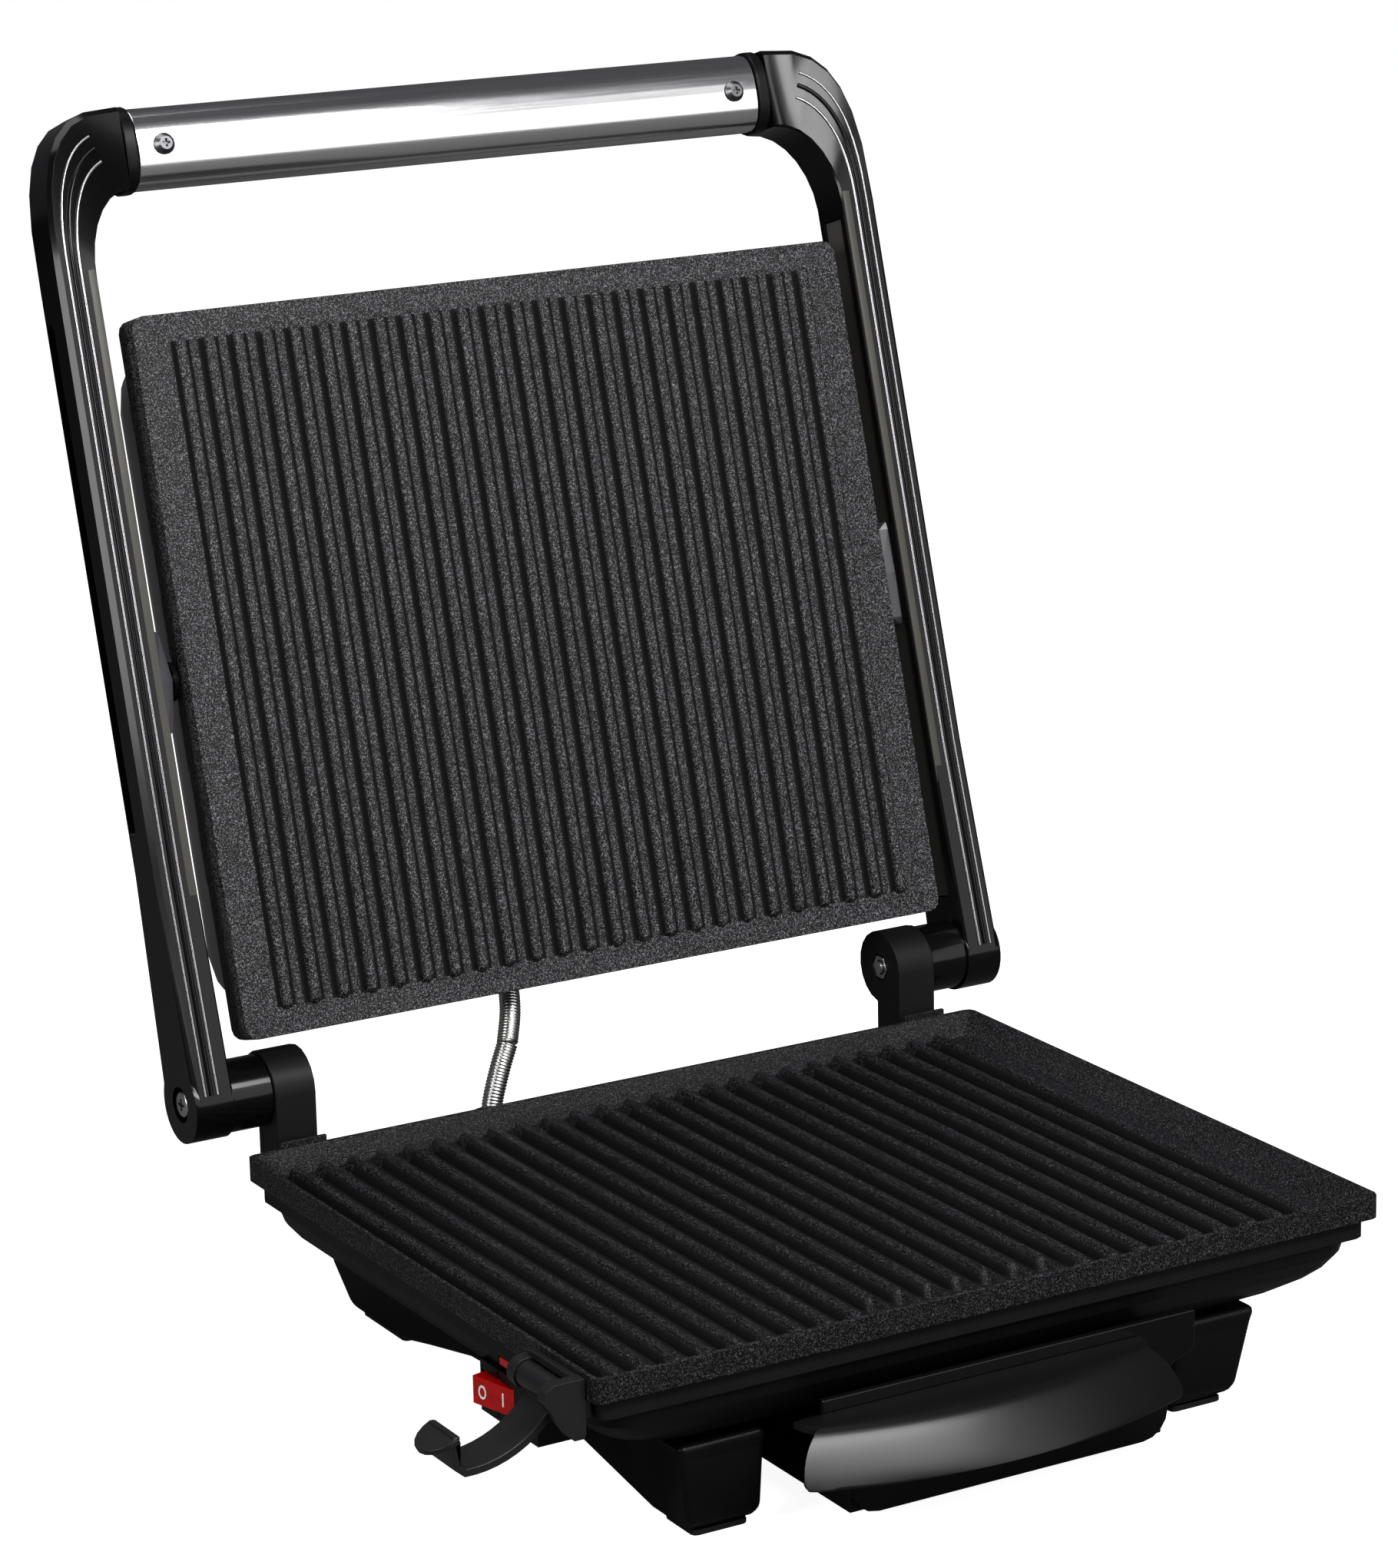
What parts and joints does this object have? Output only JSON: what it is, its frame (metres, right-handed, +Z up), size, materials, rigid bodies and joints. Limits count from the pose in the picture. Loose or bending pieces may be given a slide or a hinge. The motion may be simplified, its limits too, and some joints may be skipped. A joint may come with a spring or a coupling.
{
  "type": "panini press",
  "caption": "Countertop contact grill with ribbed plates, a bar handle over tilting arms, a side latch hook, a rocker switch and a pull-out drip tray.",
  "frame": {"origin": "middle of the footprint's bounding box, on the table the feet stand on", "axes": "+X to the press's right seen from the front, +Y to the back where the hinge is, +Z up; the front with the drip tray faces -Y"},
  "size_m": [0.3654, 0.4114, 0.422],
  "materials": {
    "non_stick": "charcoal non-stick coating with a fine pale fleck, satin",
    "gloss_black": "glossy black moulded plastic",
    "black_plastic": "satin black moulded plastic",
    "dark_grey_plastic": "matte dark grey moulded plastic",
    "grey_strip": "satin warm grey plastic trim",
    "polished_aluminium": "polished",
    "steel": "plain rolled or pressed steel",
    "zinc": "zinc plated",
    "ceramic": "unglazed steatite",
    "rubber": "matte",
    "clear_red": "translucent red moulding"
  },
  "bodies": {
    "base": {"base_tub": "black_plastic", "conduit_gland_lower": "black_plastic", "conduit_lower": "zinc", "front_foot_pad_left": "rubber", "front_foot_pad_right": "rubber", "hinge_bolt_left": "zinc", "hinge_bolt_right": "zinc", "hinge_bracket_left": "black_plastic", "hinge_bracket_right": "black_plastic", "hinge_nut_left": "zinc", "hinge_nut_right": "zinc", "latch_bracket": "black_plastic", "lower_heater": "steel", "lower_plate": "non_stick", "lower_reflector": "steel", "lower_thermostat": "steel", "mains_inlet_gland": "black_plastic", "pilot_lens": "clear_red", "plate_surround": "black_plastic", "rear_bridge": "black_plastic", "rear_foot_pad_left": "rubber", "rear_foot_pad_right": "rubber", "side_runner_left": "black_plastic", "side_runner_right": "black_plastic", "switch_housing": "black_plastic", "terminal_block": "ceramic", "tray_rail_left": "steel", "tray_rail_right": "steel"},
    "arms": {"arm_left": "gloss_black", "arm_right": "gloss_black", "arm_strip_left": "grey_strip", "arm_strip_right": "grey_strip", "conduit_upper": "zinc", "handle_collar_left": "black_plastic", "handle_collar_right": "black_plastic", "handle_screw_left": "zinc", "handle_screw_right": "zinc", "handle_tube": "polished_aluminium", "pivot_block_left": "dark_grey_plastic", "pivot_block_right": "dark_grey_plastic", "tilt_pin_left": "steel", "tilt_pin_right": "steel"},
    "head": {"tilt_boss_left": "black_plastic", "tilt_boss_right": "black_plastic", "upper_cover": "dark_grey_plastic", "upper_heater": "steel", "upper_plate": "non_stick", "upper_reflector": "steel", "upper_thermostat": "steel"},
    "hook": {"latch_hook": "black_plastic", "latch_pin": "steel"},
    "rocker": {"switch_rocker": "clear_red"},
    "tray": {"drip_tray_handle": "gloss_black", "drip_tray_pan": "steel", "drip_tray_panel": "gloss_black"}
  },
  "joints": [
    {"name": "lid_hinge", "type": "hinge", "parent": "base", "child": "arms", "pos_m": [0.01669, 0.09399, 0.0882], "axis": [1, 0, 0], "range_deg": [0, 106], "deforming": ["conduit_lower", "conduit_upper"]},
    {"name": "head_tilt", "type": "hinge", "parent": "arms", "child": "head", "pos_m": [0.01669, 0.13525, 0.22773], "axis": [-1, 0, 0], "range_deg": [-12, 0], "deforming": ["conduit_upper"]},
    {"name": "latch_swing", "type": "hinge", "parent": "base", "child": "hook", "pos_m": [-0.13831, -0.14821, 0.0635], "axis": [0, 1, 0], "range_deg": [0, 90]},
    {"name": "switch_rock", "type": "hinge", "parent": "base", "child": "rocker", "pos_m": [-0.12681, -0.09721, 0.0411], "axis": [0, 0, -1], "range_deg": [0, 28]},
    {"name": "tray_slide", "type": "slide", "parent": "base", "child": "tray", "axis": [0, -1, 0], "range_m": [0, 0.2]}
  ]
}
